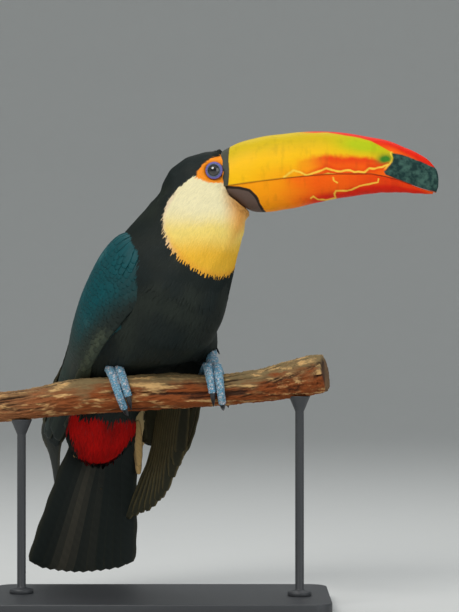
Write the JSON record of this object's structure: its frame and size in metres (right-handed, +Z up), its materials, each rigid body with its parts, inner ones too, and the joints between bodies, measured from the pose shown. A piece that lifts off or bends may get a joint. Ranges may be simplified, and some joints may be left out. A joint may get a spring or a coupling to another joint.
{
  "type": "toco toucan on a perch",
  "caption": "Life-size still model of a toco toucan gripping a short cut branch, held up by a flat base and rods.",
  "frame": {"origin": "the middle of the stand base's underside, on the floor", "axes": "+Z up; the branch runs along X and the bill points along +X; the breast faces -Y and +X, and the tail is behind the branch, towards +Y"},
  "size_m": [0.413, 0.1947, 0.4349],
  "materials": {
    "plumage_black": "black feathers with a soft blue-green gloss",
    "plumage_teal": "glossy dark teal wing coverts",
    "plumage_cream": "soft white to yellow throat feathers",
    "plumage_white": "cream-white uppertail coverts",
    "plumage_red": "loose scarlet undertail coverts",
    "bill_horn": "smooth satin horn, orange, yellow, green and red with a dark tip",
    "blue_skin": "folded bare blue skin round the eye",
    "eye": "wet dark brown eye",
    "foot_scales": "pale blue scaly skin",
    "claw_horn": "dark grey horn",
    "bark": "weathered branch, ridged grain",
    "stand_board": "flat board, sealed and painted dark grey",
    "stand_metal": "dark grey satin paint"
  },
  "bodies": {
    "root": {"perch": "bark", "stand_base": "stand_board", "stand_rod_left": "stand_metal", "stand_rod_right": "stand_metal", "bill_upper": "bill_horn", "bill_lower": "bill_horn", "head": "plumage_black", "neck": "plumage_cream", "trunk": "plumage_black", "vent": "plumage_red", "rump": "plumage_white", "tail": "plumage_black", "eye_ring_right": "blue_skin", "eye_right": "eye", "toe_right_1": "foot_scales", "claw_right_1": "claw_horn", "toe_right_2": "foot_scales", "claw_right_2": "claw_horn", "toe_right_3": "foot_scales", "claw_right_3": "claw_horn", "toe_right_4": "foot_scales", "claw_right_4": "claw_horn", "tarsus_right": "foot_scales", "thigh_right": "plumage_black", "wing_right": "plumage_teal", "flights_right": "plumage_black", "eye_ring_left": "blue_skin", "eye_left": "eye", "toe_left_1": "foot_scales", "claw_left_1": "claw_horn", "toe_left_2": "foot_scales", "claw_left_2": "claw_horn", "toe_left_3": "foot_scales", "claw_left_3": "claw_horn", "toe_left_4": "foot_scales", "claw_left_4": "claw_horn", "tarsus_left": "foot_scales", "thigh_left": "plumage_black", "wing_left": "plumage_teal", "flights_left": "plumage_black"}
  },
  "joints": []
}
